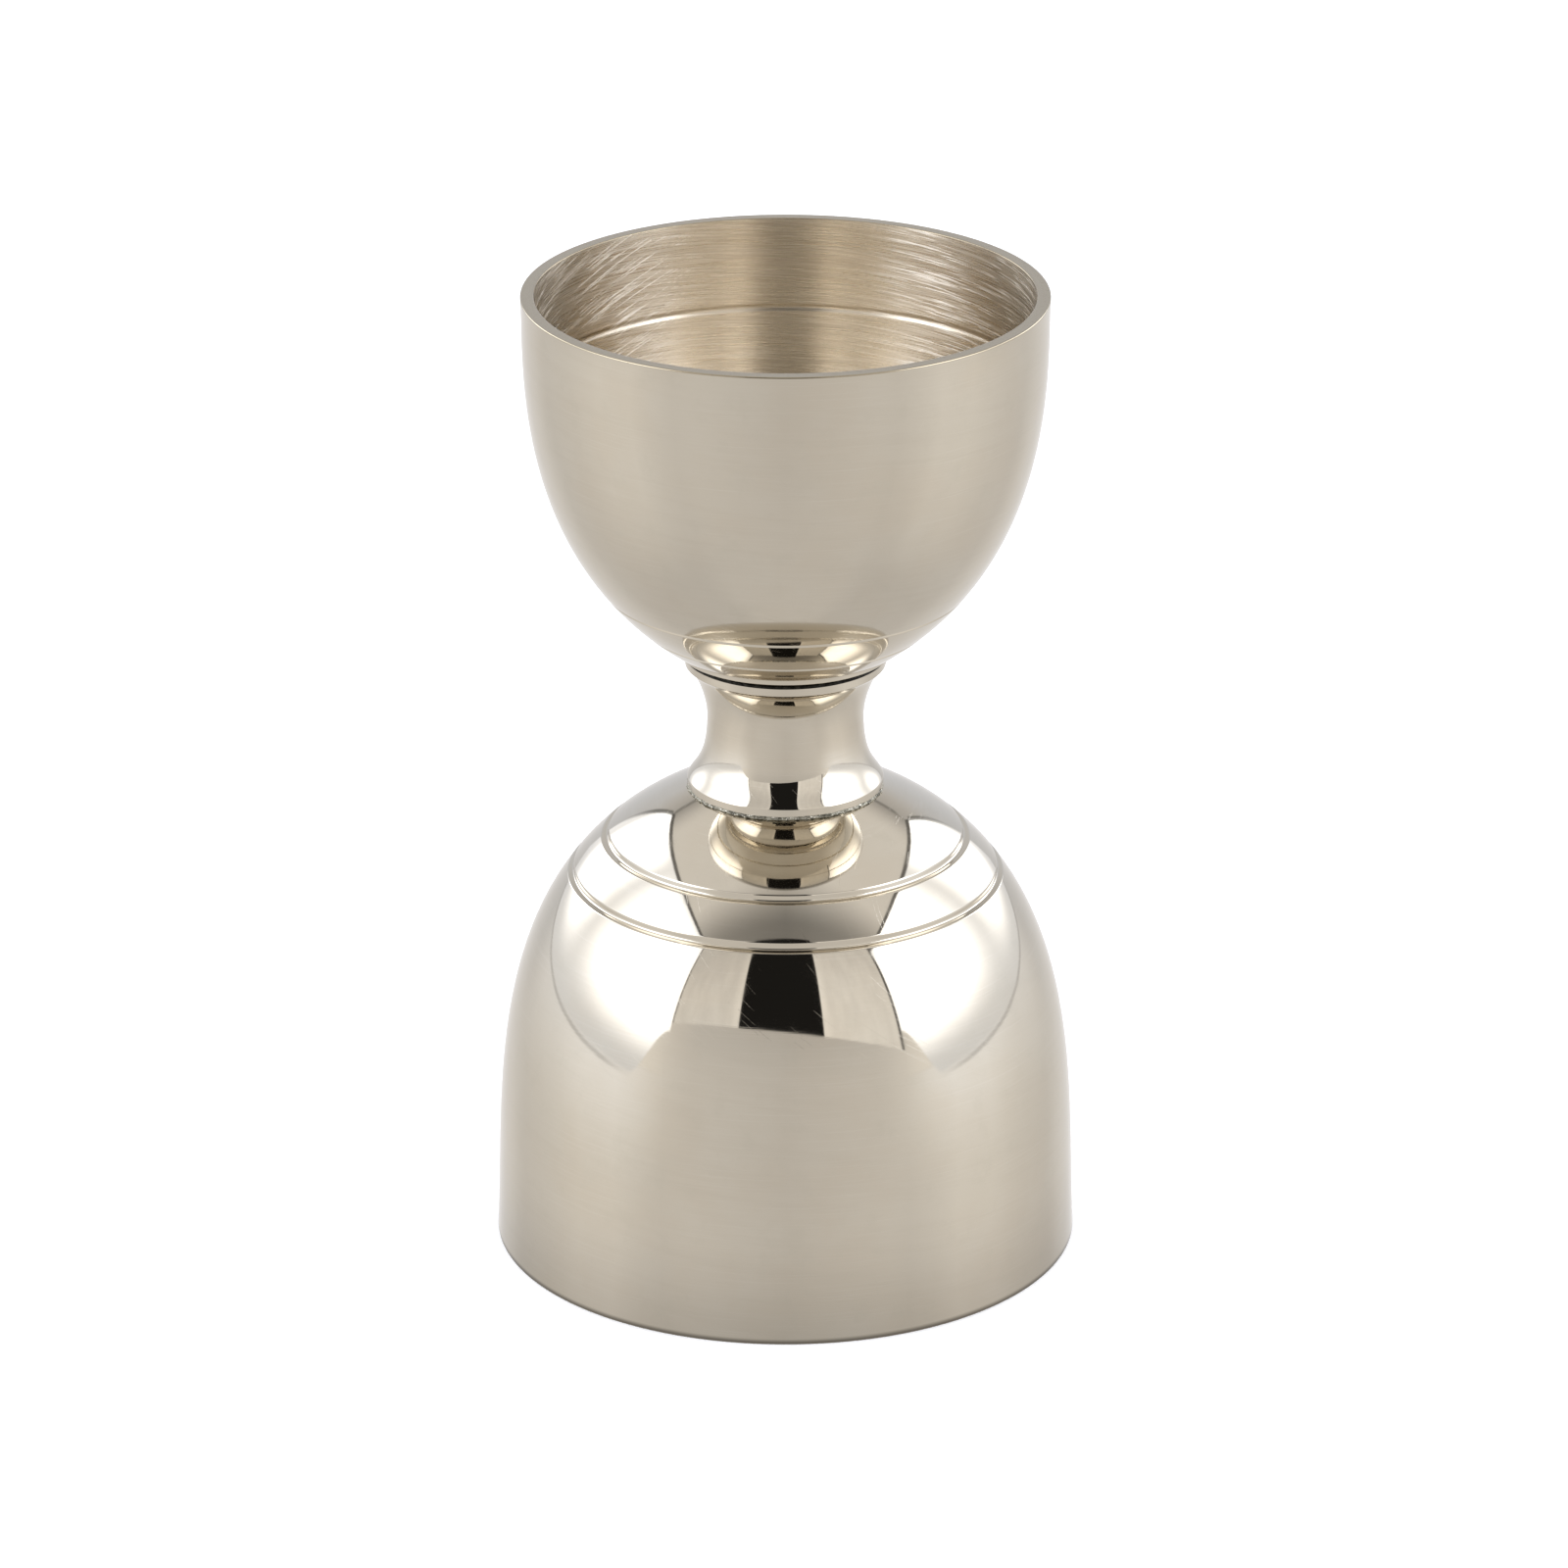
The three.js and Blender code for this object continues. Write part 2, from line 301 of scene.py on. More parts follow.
class Round(Tree):
    """A material's tree with the places that turned metal needs, in millimetres."""

    def __init__(self, name):
        self.material = bpy.data.materials.new(name)
        super().__init__(self.material)
        place = self.node("ShaderNodeTexCoord").outputs["Object"]
        self.place = self.node(
            "ShaderNodeVectorMath", {0: place, 3: 1 / MM}, operation="SCALE"
        ).outputs[0]
        split = self.node("ShaderNodeSeparateXYZ", {0: self.place})
        self.x, self.y, self.z = split.outputs
        self.radius = self.math("SQRT", self.math("ADD", self.square(self.x), self.square(self.y)))
        clear = self.math("MAXIMUM", self.radius, 0.01)
        self.cos = self.math("DIVIDE", self.x, clear)
        self.sin = self.math("DIVIDE", self.y, clear)

    def square(self, value):
        return self.math("MULTIPLY", value, value)

    def lathe_lines(self, fineness, length, tilt=0.0):
        """A vector for noise drawn out round the axis. Fineness is per millimetre across the lines,
        a greater length makes them shorter, and a tilt leans them off the level."""
        across = self.math("MULTIPLY_ADD", self.radius, 0.83, self.z)
        if tilt:
            across = self.math("MULTIPLY_ADD", self.x, tilt, across)
        return self.point(
            self.math("MULTIPLY", self.cos, length),
            self.math("MULTIPLY", self.sin, length),
            self.math("MULTIPLY", across, fineness),
        )

    def bump(self, height, distance, strength, below=None):
        inputs = {"Height": height, "Distance": distance, "Strength": strength}
        if below:
            inputs["Normal"] = below
        return self.node("ShaderNodeBump", inputs).outputs[0]

    def metal(self, colour, roughness, normal=None, anisotropy=0.0):
        shader = self.node(
            "ShaderNodeBsdfPrincipled",
            {"Base Color": colour, "Roughness": roughness, "Metallic": 1.0},
        )
        if normal:
            self.put(shader.inputs["Normal"], normal)
        if anisotropy:
            shader.inputs["Anisotropic"].default_value = anisotropy
            shader.inputs["Anisotropic Rotation"].default_value = 0.25
            tangent = self.node("ShaderNodeTangent", direction_type="RADIAL", axis="Z")
            self.put(shader.inputs["Tangent"], tangent.outputs[0])
        output = self.node("ShaderNodeOutputMaterial")
        self.put(output.inputs[0], shader.outputs[0])
        return self.material


NICKEL = (0.60, 0.548, 0.456)


def polished_nickel(name):
    """Buffed plate: a mirror with a faint haze, fine buffing lines and hairline scratches."""
    t = Round(name)
    cloud = t.noise(t.place, 0.11, 3, 0.55)
    blotch = t.noise(t.place, 0.42, 4, 0.6)
    buffing = t.noise(t.lathe_lines(9.0, 2.2), 1.0, 3, 0.6)
    streaks = t.noise(t.lathe_lines(0.9, 1.4, 0.12), 1.0, 3, 0.55)
    hairlines = t.noise(t.lathe_lines(26.0, 5.0, 0.5), 1.0, 1, 0.5)
    warm = t.colours(t.step(cloud, 0.35, 0.68), NICKEL, (0.588, 0.529, 0.432))
    warm = t.colours(t.step(streaks, 0.45, 0.75, 0, 0.34), warm, (0.565, 0.512, 0.420))
    warm = t.colours(t.step(buffing, 0.5, 0.8, 0, 0.5), warm, (0.635, 0.585, 0.495))
    colour = t.colours(t.step(blotch, 0.5, 0.78, 0, 0.5), warm, (0.566, 0.520, 0.428))
    # Painted shade: the outside darkens towards the foot in place of a mirrored contact shadow, and a
    # near-black painted shadow line runs along the foot's lower edge.
    colour = t.colours(t.step(t.z, -3.0, 12.0, 0.28, 0), colour, (0.0, 0.0, 0.0))
    colour = t.colours(t.step(t.z, 0.15, 0.65, 0.7, 0), colour, (0.02, 0.015, 0.01))
    worn = t.math("MULTIPLY_ADD", t.step(blotch, 0.42, 0.75), 0.028, 0.034)
    worn = t.math("MULTIPLY_ADD", t.step(streaks, 0.5, 0.8), 0.03, worn)
    worn = t.math("MULTIPLY_ADD", t.step(hairlines, 0.7, 0.78), 0.06, worn)
    wave = t.bump(t.noise(t.lathe_lines(0.34, 1.6), 1.0, 2, 0.5), 0.00002, 0.35)
    lines = t.bump(buffing, 0.0000012, 0.5, wave)
    scratch = t.bump(t.step(hairlines, 0.7, 0.76), 0.0000010, 0.7, lines)
    return t.metal(colour, worn, scratch)


def brushed_nickel(name):
    """The inside of a cup: plate over emery strokes that run round it, steeper on the left, with
    painted highlight on the strokes and painted shade towards the sides.
    """
    t = Round(name)
    fine = t.noise(t.lathe_lines(13.0, 2.4), 1.0, 4, 0.65)
    level = t.noise(t.lathe_lines(6.5, 3.0, 0.08), 1.0, 3, 0.6)
    steep = t.noise(t.lathe_lines(6.0, 3.4, -0.5), 1.0, 3, 0.6)
    where = t.noise(t.place, 0.12, 2, 0.5)
    left = t.step(t.x, -15.0, -6.0, 1, 0)
    aside = t.math("ABSOLUTE", t.x)
    # The strokes are real, but they are painted lighter as highlight, mostly at the left and right
    # sides where they catch the light.
    sides = t.math("MULTIPLY", t.step(aside, 5.0, 13.0), t.step(where, 0.36, 0.56))
    strokes = t.mix(left, level, steep)
    share = t.math("MULTIPLY_ADD", sides, 0.88, 0.12)
    marks_and_glints = t.math("MULTIPLY", t.step(strokes, 0.55, 0.63), share)
    dull = t.colours(t.step(level, 0.38, 0.62), (0.60, 0.525, 0.415), (0.71, 0.635, 0.52))
    colour = t.colours(t.step(fine, 0.5, 0.75, 0, 0.4), dull, (0.76, 0.70, 0.59))
    colour = t.colours(marks_and_glints, colour, (0.90, 0.84, 0.74))
    # Painted shade: the inside darkens towards its left and right sides.
    far = t.step(aside, 11.0, 20.0, 0, 0.3)
    colour = t.colours(far, colour, (0.36, 0.29, 0.19))
    rough = t.math("MULTIPLY_ADD", t.step(fine, 0.3, 0.7), 0.12, 0.23)
    rough = t.math("MULTIPLY_ADD", marks_and_glints, 0.12, rough)
    base = t.bump(fine, 0.000008, 0.5)
    cut = t.bump(marks_and_glints, 0.000020, 0.6, base)
    return t.metal(colour, rough, cut, anisotropy=0.92)


def cut_edge(name):
    """A turned rim land: fine rings, bright above and darkened with painted contact shade where the
    foot meets the bar.
    """
    t = Round(name)
    rings = t.noise(t.lathe_lines(30.0, 1.2), 1.0, 2, 0.6)
    nicks = t.noise(t.place, 1.9, 4, 0.65)
    colour = t.colours(t.step(nicks, 0.55, 0.75), (0.405, 0.348, 0.25), (0.345, 0.288, 0.2))
    # Painted shade: the land darkens over its lowest 0.3 mm, where the foot stands on the bar.
    colour = t.colours(t.step(t.z, 0.05, 0.3, 0.85, 0), colour, (0.11, 0.095, 0.075))
    rough = t.math("MULTIPLY_ADD", t.step(rings, 0.3, 0.7), 0.1, 0.12)
    normal = t.bump(rings, 0.000004, 0.4)
    return t.metal(colour, rough, t.bump(t.step(nicks, 0.6, 0.72), 0.000012, 0.4, normal))


def seam_grime_and_shade(name):
    """Dried polish and tarnish packed in the lower seam, pale; the upper seam is dark with painted
    shade for its shadowed gap under the cup.
    """
    t = Round(name)
    specks = t.noise(t.place, 5.5, 3, 0.6)
    mottle = t.noise(t.place, 2.1, 4, 0.6)
    pale = t.colours(t.step(mottle, 0.35, 0.62), (0.10, 0.093, 0.072), (0.38, 0.36, 0.29))
    pale = t.colours(t.step(specks, 0.56, 0.68), pale, (0.80, 0.76, 0.66))
    # Painted shade: near black above 50 to 56 mm, for the shadowed gap between the cup and the neck's
    # top.
    dark = t.colours(t.step(mottle, 0.35, 0.7), (0.012, 0.011, 0.009), (0.04, 0.037, 0.03))
    colour = t.colours(t.step(t.z, 50.0, 56.0), pale, dark)
    rough = t.math("MULTIPLY_ADD", t.step(specks, 0.55, 0.7), -0.35, 0.62)
    normal = t.bump(mottle, 0.00008, 0.7)
    return t.metal(colour, rough, t.bump(specks, 0.00004, 0.5, normal))


def bare_brass(name):
    """Lathe-cut brass, with tool rings and a little darkening."""
    t = Round(name)
    rings = t.noise(t.lathe_lines(8.0, 1.5), 1.0, 3, 0.6)
    stain = t.noise(t.place, 0.7, 4, 0.6)
    colour = t.colours(t.step(stain, 0.4, 0.7), (0.78, 0.55, 0.24), (0.5, 0.32, 0.13))
    rough = t.math("MULTIPLY_ADD", t.step(rings, 0.3, 0.7), 0.18, 0.2)
    return t.metal(colour, rough, t.bump(rings, 0.00001, 0.5))


def silver_braze(name):
    """A flowed fillet: rippled, pale and slightly oxidised."""
    t = Round(name)
    ripple = t.noise(t.place, 2.4, 3, 0.6)
    flux = t.noise(t.place, 1.1, 4, 0.65)
    colour = t.colours(t.step(flux, 0.45, 0.7), (0.72, 0.69, 0.62), (0.34, 0.29, 0.22))
    rough = t.math("MULTIPLY_ADD", t.step(flux, 0.4, 0.7), 0.3, 0.3)
    return t.metal(colour, rough, t.bump(ripple, 0.00006, 0.6))


def screw_steel(name):
    """Blackened screw steel, rubbed bright on the crests of the thread."""
    t = Round(name)
    crest = t.step(t.radius, 2.75, 3.0)
    oil = t.noise(t.place, 0.9, 4, 0.6)
    dark = t.colours(t.step(oil, 0.4, 0.7), (0.11, 0.105, 0.10), (0.19, 0.18, 0.17))
    colour = t.colours(crest, dark, (0.45, 0.44, 0.43))
    rough = t.math("MULTIPLY_ADD", t.step(oil, 0.35, 0.7), 0.2, 0.28)
    return t.metal(colour, rough, t.bump(t.noise(t.place, 6.0, 3, 0.6), 0.00001, 0.5))


# ---------------------------------------------------------------- pieces

lower_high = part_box("lower_cup")[1] / MM
upper_low, upper_high = (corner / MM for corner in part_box("upper_cup"))
neck_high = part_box("neck")[1] / MM
FOOT, SEAT = lower_high.x, lower_high.z
RIM, BASE, TOP = upper_high.x, upper_low.z, upper_high.z
COLLAR, NECK_TOP = neck_high.x, neck_high.z

OUTSIDE, INSIDE, LAND, GRIME_AND_SHADE = range(4)
FINISHES = (
    polished_nickel("polished_nickel"),
    brushed_nickel("brushed_nickel"),
    cut_edge("rim_nickel"),
    seam_grime_and_shade("seam_residue_and_shade"),
)

BELL_CORNER = 10.6  # radius where the floor inside each cup starts to round up into the wall
BOWL_CORNER = 11.6
BORE = 3.3  # the neck's bore, widened at each end to take a boss
COUNTERBORE = 5.7
COUNTERBORE_DEPTH = 5.0
MOUTH = 1.4
RESIDUE = 0.3  # how far the residue on the neck's lower seam reaches
SEED = 7
GRAINS = 3
GRAINS_PER_MM = 50
THIN_SIDE = 75  # degrees round from +X

SEAT_EDGE = (9.32, SEAT)
FOOT_EDGE = (10.39, BASE)
FOOT_CORNER = (10.54, 61.1)
FOOT_RING = (11.22, 60.37)
FLANGE = (9.33, 46.69)
WAIST = (7.45, 52.88)
COLLAR_CORNER = (9.49, 58.13)
bell = Curve([(FOOT, 0), (27.17, 15.12), (29.69, 37.15), SEAT_EDGE])
bowl = Curve(
    [FOOT_EDGE, FOOT_CORNER, FOOT_RING],
    [FOOT_RING, (26.14, 70.88), (24.33, 89.0), (RIM, TOP)],
)
lower_flare = Curve([FLANGE, (8.6, 47.86), (7.45, 48.73), WAIST])
upper_flare = Curve([WAIST, (7.45, 54.93), (8.65, 57.81), COLLAR_CORNER])


def rounded_end(wall, wall_normals, height):
    """The inside of a cup's end, from its wall at wall[-1] to the axis at a height."""
    run = np.array([-wall_normals[-1][1], wall_normals[-1][0]])
    corner = wall[-1] + run * ((height - wall[-1][1]) / run[1])
    points, normals = side(Curve([tuple(wall[-1]), tuple(corner), (0, height)]))
    points[-1] = (0, height)
    normals[-1] = (0, np.sign(normals[-1][1]))
    return points, normals


def lower_cup():
    outer, outer_n = side(bell, grooves=BELL_GROOVES, start=BROKEN_EDGE)
    inner, inner_n = side(bell, inset=WALL, start=BROKEN_EDGE, end=bell.length - 2, reverse=True)
    keep = inner[:, 0] > BELL_CORNER
    inner, inner_n = inner[keep], inner_n[keep]
    end, end_n = rounded_end(inner[::-1], -inner_n[::-1], SEAT - FLOOR)
    end, end_n = end[::-1], -end_n[::-1]
    foot_in = (inner[-1][0] + BROKEN_EDGE, 0.0)
    foot_out = (outer[0][0] - BROKEN_EDGE, 0.0)
    return [
        (end, end_n, INSIDE),
        (inner, inner_n, INSIDE),
        (*edge(inner[-1], inner_n[-1], foot_in, (0, -1)), LAND),
        (*flat(foot_in, foot_out), LAND),
        (*edge(foot_out, (0, -1), outer[0], outer_n[0]), LAND),
        (outer, outer_n, OUTSIDE),
        (*flat(outer[-1], (0, SEAT), 8), OUTSIDE),
    ]


def upper_cup():
    top = bowl.length - BROKEN_EDGE
    outer, outer_n = side(bowl, grooves=BOWL_LINES, start=0.06, end=top)
    inner, inner_n = side(bowl, WALL, FILL_LINE, start=2, end=top, reverse=True)
    keep = inner[:, 0] > BOWL_CORNER
    inner, inner_n = inner[keep], inner_n[keep]
    floor, floor_n = rounded_end(inner, inner_n, BASE + FLOOR)
    rim_out = (outer[-1][0] - BROKEN_EDGE, TOP)
    rim_in = (inner[0][0] + BROKEN_EDGE, TOP)
    return [
        # The cup's underside: near-black painted shade over the neck's top.
        (*flat((0, BASE), (COLLAR, BASE), 12), GRIME_AND_SHADE),
        (*flat((COLLAR, BASE), (FOOT_EDGE[0] - 0.05, BASE)), OUTSIDE),
        (*edge((FOOT_EDGE[0] - 0.05, BASE), (0, -1), outer[0], outer_n[0], 4), OUTSIDE),
        (outer, outer_n, OUTSIDE),
        (*edge(outer[-1], outer_n[-1], rim_out, (0, 1)), LAND),
        (*flat(rim_out, rim_in), LAND),
        (*edge(rim_in, (0, 1), inner[0], inner_n[0]), LAND),
        (inner, inner_n, INSIDE),
        (floor, floor_n, INSIDE),
    ]


def neck():
    clear, lip, bulge, skin = 0.03, 0.05, 0.08, 0.01
    low = SEAT + clear
    mouth = COUNTERBORE + MOUTH
    flare, flare_n = side(lower_flare, start=lip, step=0.2)
    rise, rise_n = side(upper_flare, step=0.2, end=upper_flare.length - lip)
    under_lip = (FLANGE[0] - 0.2, low)
    bead_low = (FLANGE[0] + bulge, low + clear)
    bead_top = (FLANGE[0] + skin, low + 0.33)
    lip_top = (FLANGE[0] + skin, FLANGE[1] - 0.06)
    collar_low = (COLLAR - lip, COLLAR_CORNER[1] + 0.1)
    collar_top = (COLLAR - skin, NECK_TOP - 0.42)
    crown = (COLLAR - 0.4, NECK_TOP)
    high_step, low_step = NECK_TOP - COUNTERBORE_DEPTH, low + COUNTERBORE_DEPTH
    bore_outline = (
        (mouth, NECK_TOP),
        (COUNTERBORE, NECK_TOP - MOUTH),
        (COUNTERBORE, high_step),
        (BORE, high_step),
        (BORE, low_step),
        (COUNTERBORE, low_step),
        (COUNTERBORE, low + MOUTH),
        (mouth, low),
    )
    return [
        (*flat((mouth, low), under_lip, 8), GRIME_AND_SHADE),
        (*edge(under_lip, (0, -1), bead_low, (1, 0), 4), GRIME_AND_SHADE),
        (*edge(bead_low, (1, 0), bead_top, (1, 0), 7), GRIME_AND_SHADE),
        (*flat(bead_top, lip_top), OUTSIDE),
        (*edge(lip_top, (1, 0), flare[0], flare_n[0], 5), OUTSIDE),
        (flare, flare_n, OUTSIDE),
        (rise, rise_n, OUTSIDE),
        (*edge(rise[-1], rise_n[-1], collar_low, (1, 0), 5), OUTSIDE),
        (*flat(collar_low, collar_top), OUTSIDE),
        # The neck's crown: near-black painted shade under the cup.
        (*edge(collar_top, (1, 0), crown, (0, 1)), GRIME_AND_SHADE),
        (*flat(crown, (mouth, NECK_TOP)), GRIME_AND_SHADE),
        *((*flat(a, b), INSIDE) for a, b in zip(bore_outline, bore_outline[1:])),
    ]


def ripples(angles, waves, rng):
    """A wandering line round the axis, from waves that each go round a whole number of times."""
    total = np.zeros(len(angles))
    for turns in waves:
        total += np.sin(turns * angles + rng.uniform(0, 2 * math.pi)) / math.sqrt(len(waves))
    return total


def caked_seam(angles, radii, heights):
    """Residue that swells and thins, thickest at the front left and hardly there at the right."""
    near_edge = np.clip((radii - FLANGE[0] + RESIDUE) / RESIDUE, 0, 1)
    above = np.clip((heights - SEAT) / RESIDUE, 0, 1)
    grain = int(heights[0] * GRAINS_PER_MM) % GRAINS
    fine_rng = np.random.default_rng(SEED + grain)
    coarse = ripples(angles, (5, 9, 14, 23), np.random.default_rng(SEED))
    fine = ripples(angles, (31, 47, 58, 71), fine_rng)
    thick = 0.5 - 0.5 * np.cos(angles - math.radians(THIN_SIDE))
    swell = 0.02 + 0.05 * coarse + 0.05 * fine - 0.14 * (1 - thick)
    return radii + swell * near_edge, heights + 0.02 * fine * above * near_edge


turned("bell_cup", "lower_cup", lower_cup())
turned("bowl_cup", "upper_cup", upper_cup())
turned("turned_neck", "neck", neck(), caked_seam)

BRASS = bare_brass("boss_brass")
BRAZE = silver_braze("braze")
INNER_FINISHES = {
    "lower_boss": BRASS,
    "upper_boss": BRASS,
    "lower_braze_ring": BRAZE,
    "upper_braze_ring": BRAZE,
    "joining_screw": screw_steel("screw_steel"),
}
for node, finish in INNER_FINISHES.items():
    for material_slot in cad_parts[node].material_slots:
        material_slot.material = finish


# ---------------------------------------------------------------- light tent

# Sizes are in units of the distance from the jigger to the side walls.
CLOTH_AWAY = 0.81
CLOTH_HALF = 0.985
CLOTH_TOP = 1.06
SLIT_LEFT = -0.31
SLIT_RIGHT = 0.248
SLIT_TOP = 1.245
TABLE_EDGE = 0.29
BOX_FRONT = 0.81
BOX_BACK = -2.27
BOX_TOP = 1.33
WALL_TOP = 1.4
NEARLY_LEVEL = 0.02  # keeps the divisions below finite
NEAR_LAMP = 0.28  # how far forward of the jigger each lamp stands
FAR_LAMP = -1.2
LAMP_HEIGHT = 0.7
LAMP_LEVEL = 2.6
SLIT_LEVEL = 0.016
WARM_LIGHT = (1.0, 0.985, 0.985)
COOL_LIGHT = (0.96, 0.995, 1.085)

# How bright the table is, from in front (0) round to behind (1).
TABLE_LEVELS = (
    (0, 0.78),
    (0.167, 0.85),
    (0.278, 0.89),
    (0.4, 1.08),
    (0.5, 1.07),
    (0.611, 0.95),
    (0.722, 0.87),
    (0.85, 0.88),
    (1, 0.92),
)


class Tent(Tree):
    """A white tent, drawn by direction: a front cloth with a slit for the lens, a softbox on each side,
    a table that sweeps up into a back wall, and a ceiling that darkens towards the lens."""

    def __init__(self, world):
        super().__init__(world)
        generated = self.node("ShaderNodeTexCoord").outputs["Generated"]
        self.x, self.y, self.z = self.node("ShaderNodeSeparateXYZ", {0: generated}).outputs
        self.across = self.math("ABSOLUTE", self.x)
        self.right = self.step(self.x, -0.1, 0.1)
        self.upward = self.step(self.z, 0.0, 0.02)
        self.front = self.math("MULTIPLY", self.y, -1.0)
        self.facing = self.step(self.front, 0.0, 0.05)
        # 0 in front, 1 behind
        self.turn = self.math("DIVIDE", self.math("ARCTAN2", self.across, self.front), math.pi)
        level = self.math("SUBTRACT", 1.0, self.math("MULTIPLY", self.z, self.z))
        flat_reach = self.math("SQRT", self.math("MAXIMUM", level, 1e-5))
        self.rise = self.math("DIVIDE", self.z, flat_reach)
        self.meet_walls()

    def meet_walls(self):
        """Where a direction meets the front cloth, the side walls and the ceiling."""
        ahead = self.math("MAXIMUM", self.front, NEARLY_LEVEL)
        self.cloth_x = self.math("MULTIPLY", self.math("DIVIDE", self.x, ahead), CLOTH_AWAY)
        self.cloth_z = self.math("MULTIPLY", self.math("DIVIDE", self.z, ahead), CLOTH_AWAY)
        self.cloth_x2 = self.math("MULTIPLY", self.cloth_x, self.cloth_x)
        wide = self.math("MAXIMUM", self.across, NEARLY_LEVEL)
        self.box_y = self.math("DIVIDE", self.front, wide)
        self.box_z = self.math("DIVIDE", self.z, wide)
        over = self.math("MAXIMUM", self.z, NEARLY_LEVEL)
        self.roof_x = self.math("DIVIDE", self.across, over)
        self.roof_y = self.math("DIVIDE", self.y, over)

    def above(self, value, limit, soft=0.006):
        return self.step(self.math("SUBTRACT", value, limit), -soft, soft)

    def below(self, value, limit, soft=0.006):
        return self.step(self.math("SUBTRACT", value, limit), -soft, soft, 1, 0)

    def away(self, value, middle):
        return self.math("ABSOLUTE", self.math("SUBTRACT", value, middle))

    def line(self, value, middle, half):
        return self.step(self.away(value, middle), self.math("MULTIPLY", half, 0.3), half, 1, 0)

    def patch(self, value, middle, full, none):
        return self.step(self.away(value, middle), full, none, 1, 0)

    def where(self, *masks):
        """The share that all the masks leave."""
        share = masks[0]
        for mask in masks[1:]:
            share = self.math("MULTIPLY", share, mask)
        return share

    def table(self):
        """The table and, behind, the wall that it sweeps up into."""
        level = self.ramp(self.turn, TABLE_LEVELS)
        level = self.mix(self.step(self.rise, -1.6, -0.35), 0.8, level)
        beside = self.step(self.turn, 0.2, 0.36)
        behind = self.step(self.turn, 0.7, 0.82)
        foot = self.step(self.rise, -0.4, -0.05, 1, 0.9)
        head = self.step(self.rise, 0.25, 0.7, 1, 0.76)
        front_glow = self.step(self.rise, 0.02, 0.34, 1.0, 0.9)
        side_glow = self.step(self.rise, -0.42, 0.0, 0.93, 1.22)
        glow = self.mix(beside, front_glow, side_glow)
        return self.math("MULTIPLY", level, self.mix(behind, glow, self.math("MULTIPLY", foot, head)))

    def ceiling(self):
        """Darker towards the lens, and towards the top of the back wall."""
        fall = self.math("MULTIPLY_ADD", self.roof_x, 0.25, self.roof_y)
        level = self.step(fall, -0.5, 0.1, 0.28, 0.96)
        level = self.math("MULTIPLY_ADD", self.roof_x, 0.2, level)
        level = self.math("MINIMUM", level, 0.98)
        return self.math("MULTIPLY", level, self.step(self.roof_y, 0.75, 1.45, 1, 0.5))

    def softboxes(self):
        """(where, how bright): two lamps in each, behind a diffuser that is dimmer at its foot."""
        reach = self.math("MAXIMUM", self.math("MULTIPLY", self.box_y, -1.0), 0.0)
        top = self.math("MULTIPLY_ADD", self.right, -0.14, BOX_TOP)
        self.box_top = self.math("MULTIPLY_ADD", reach, -0.08, top)
        back = self.math("MULTIPLY_ADD", self.right, 0.24, BOX_BACK)
        height_squared = self.math("MULTIPLY", self.box_z, self.box_z)
        self.box_back = self.math("MULTIPLY_ADD", height_squared, 0.4, back)
        self.box_low = self.step(self.box_y, 0.42, 0.83, -0.035, 0.30)
        area = self.where(
            self.above(self.box_z, self.box_low, 0.014),
            self.below(self.box_z, self.box_top, 0.014),
            self.below(self.box_y, BOX_FRONT, 0.01),
            self.above(self.box_y, self.box_back, 0.05),
        )
        tall = self.patch(self.box_z, LAMP_HEIGHT, 0.3, 0.68)
        near_lamp = self.where(self.patch(self.box_y, NEAR_LAMP, 0.14, 0.75), tall)
        far_lamp = self.where(self.patch(self.box_y, FAR_LAMP, 0.3, 0.78), tall)
        lamps = self.math("ADD", near_lamp, far_lamp)
        diffuser = self.step(self.box_z, -0.06, 0.24, 1.08, 1.45)
        return area, self.math("MULTIPLY_ADD", lamps, LAMP_LEVEL, diffuser)

    def front_cloth(self):
        """(where, how bright): slightly folded, with a paler hem on each side of the slit."""
        self.cloth_side = self.below(self.math("ABSOLUTE", self.cloth_x), CLOTH_HALF, 0.008)
        self.cloth_top = self.math("MULTIPLY_ADD", self.cloth_x2, 0.36, CLOTH_TOP)
        edge = self.math("MULTIPLY_ADD", self.cloth_x, -0.092, TABLE_EDGE)
        self.table_edge = self.math("MULTIPLY_ADD", self.cloth_x2, -0.03, edge)
        area = self.where(
            self.above(self.cloth_z, self.table_edge),
            self.below(self.cloth_z, self.cloth_top),
            self.cloth_side,
            self.facing,
        )
        weave = self.point(self.math("MULTIPLY", self.cloth_x, 3.0), self.cloth_z, 0.0)
        folds = self.step(self.noise(weave, 3.0, 4, 0.6), 0.3, 0.7)
        hem = self.patch(self.cloth_x, -0.03, 0.29, 0.36)
        level = self.math("MULTIPLY_ADD", folds, 0.1, self.step(self.cloth_x, -0.4, 0.4, 0.95, 1.05))
        level = self.math("MULTIPLY_ADD", hem, 0.14, level)
        return area, self.math("MULTIPLY", level, self.step(self.cloth_z, 0.45, 1.1, 1.0, 0.84))

    def slit(self):
        top = self.math("MULTIPLY_ADD", self.cloth_x2, -0.25, SLIT_TOP)
        return self.where(
            self.above(self.cloth_x, SLIT_LEFT, 0.005),
            self.below(self.cloth_x, SLIT_RIGHT, 0.005),
            self.above(self.cloth_z, self.table_edge),
            self.below(self.cloth_z, top, 0.012),
            self.facing,
        )

